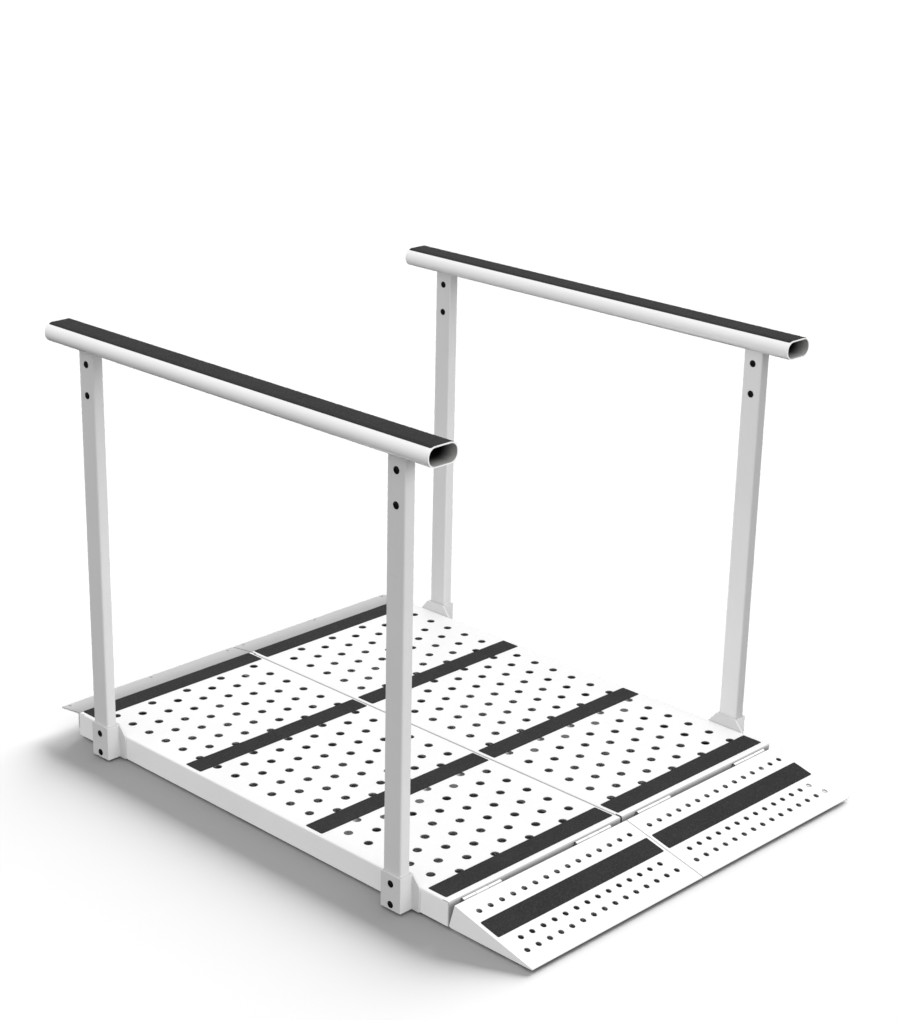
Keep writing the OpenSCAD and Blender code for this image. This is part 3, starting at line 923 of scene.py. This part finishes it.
def socket_welds(side, end):
    """Welds along the gusset's upright edges and where the socket meets the gusset."""
    s = SIDES[side]
    lo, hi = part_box(f"{side}_{end}_socket")
    middle = (lo.y + hi.y) / 2
    post_lo, post_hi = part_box(f"{side}_{end}_post")
    socket_half = (post_hi.y - post_lo.y) / 2 + SOCKET_WALL
    rim_x = s * HALF_W
    plate_x = s * (HALF_W + GUSSET_T)
    gusset_foot, gusset_head = lo.z + 3 * MM, DECK_TOP - 5 * MM
    socket_foot, socket_head = lo.z + 2 * MM, hi.z - 3 * MM
    lines = []
    for way in (-1, 1):
        edge = middle + way * (hi.y - lo.y) / 2
        lines.append(((rim_x, edge, gusset_foot), (rim_x, edge, gusset_head), GUSSET_BEAD_R))
        corner = middle + way * socket_half
        lines.append(((plate_x, corner, socket_foot), (plate_x, corner, socket_head),
                      SOCKET_BEAD_R))
    return lines


RIB_STITCHES = 5
RIB_STITCH_START = 50 * MM
RIB_STITCH_PITCH = 75 * MM
RIB_STITCH_HALF = 11 * MM
FLAP_STITCHES = 4
FLAP_STITCH_START = 22 * MM
FLAP_STITCH_PITCH = 34 * MM
FLAP_STITCH_LENGTH = 14 * MM


def deck_welds(side):
    """Stitch welds under the deck, along both edges of both ribs."""
    ribs_lo, ribs_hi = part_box(side + "_cross_ribs")
    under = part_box(side + "_deck_sheet")[0].z
    lines = []
    for rib_y in (ribs_lo.y, ribs_lo.y + RIB_W, ribs_hi.y - RIB_W, ribs_hi.y):
        for k in range(RIB_STITCHES):
            x = SIDES[side] * (RIB_STITCH_START + k * RIB_STITCH_PITCH)
            lines.append(((x - RIB_STITCH_HALF, rib_y, under), (x + RIB_STITCH_HALF, rib_y, under),
                          RIB_BEAD_R))
    return lines


def flap_welds(side):
    """Stitch welds under the flap, along its cheeks."""
    turn = flap_turn(side)
    lo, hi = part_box(side + "_flap_sheet")
    under = FLAP_TOP - SHEET_T
    lines = []
    for x in (lo.x + SHEET_T, hi.x - SHEET_T):
        for k in range(FLAP_STITCHES):
            y = -(FLAP_STITCH_START + k * FLAP_STITCH_PITCH)
            lines.append((turn @ Vector((x, y, under)),
                          turn @ Vector((x, y - FLAP_STITCH_LENGTH, under)), FLAP_BEAD_R))
    return lines


def add_welds(side):
    """All the weld beads of one half."""
    for end in ENDS:
        add_beads(f"{side}_{end}_socket_welds", socket_welds(side, end), side + "_deck",
                  "grey_paint")
    add_beads(side + "_deck_welds", deck_welds(side), side + "_deck", "white_paint")
    add_beads(side + "_flap_welds", flap_welds(side), side + "_flap", "white_paint")


FOOT_CORNER_R = 4 * MM
FOOT_CORNER_STEPS = 6
# Heights and insets of a foot's outline, in millimetres: soft edges and a groove round the middle
FOOT_PROFILE = ((0.0, 0.9), (0.2, 0.35), (0.7, 0.0), (1.3, 0.0), (1.6, 0.5), (2.2, 0.5),
                (2.5, 0.0), (3.3, 0.0), (3.5, 0.3))


def round_outline(width, length, radius, count):
    """Points round a rectangle with round corners, anticlockwise about the origin."""
    points = []
    for k, (sx, sy) in enumerate(((1, 1), (-1, 1), (-1, -1), (1, -1))):
        cx, cy = sx * (width / 2 - radius), sy * (length / 2 - radius)
        for i in range(count + 1):
            turn = math.pi / 2 * (k + i / count)
            points.append((cx + radius * math.cos(turn), cy + radius * math.sin(turn)))
    return points


def add_feet(side):
    """Rubber pads with round corners, a groove round the middle and soft edges."""
    node = side + "_feet"
    verts, faces = [], []
    for lo, hi in loose_boxes(node):
        width, length, height = hi[0] - lo[0], hi[1] - lo[1], hi[2] - lo[2]
        cx, cy = (lo[0] + hi[0]) / 2, (lo[1] + hi[1]) / 2
        first = len(verts)
        for z, inset in FOOT_PROFILE:
            ring = round_outline(width - 2 * inset * MM, length - 2 * inset * MM, FOOT_CORNER_R,
                                 FOOT_CORNER_STEPS)
            level = lo[2] + height * z / FOOT_PROFILE[-1][0]
            verts += [(cx + x, cy + y, level) for x, y in ring]
        count = len(ring)
        for k in range(len(FOOT_PROFILE) - 1):
            a = first + k * count
            faces += [(a + i, a + (i + 1) % count, a + count + (i + 1) % count, a + count + i)
                      for i in range(count)]
        faces.append(tuple(first + i for i in reversed(range(count))))
        top = first + (len(FOOT_PROFILE) - 1) * count
        faces.append(tuple(top + i for i in range(count)))
    piece = add_piece(side + "_foot_pads", verts, faces, side + "_deck", "foot_rubber")
    piece.data.set_sharp_from_angle(angle=SHARP_ANGLE)
    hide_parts(node)


# ---- Putting it together ----

SOCKET_EDGE_R = 0.7 * MM
CHEEK_EDGE_R = 0.4 * MM

add_camera()
dress_nodes()
for side in SIDES:
    add_deck_plate(side)
    add_flap_plate(side)
    add_deck_tapes(side)
    add_flap_tape(side)
    add_rail_tape(side)
    add_feet(side)
    add_welds(side)
    darken_inside(side + "_handrail")
    for end in ENDS:
        soften(f"{side}_{end}_socket", SOCKET_EDGE_R)
    soften(side + "_flap_cheeks", CHEEK_EDGE_R)
add_studio()
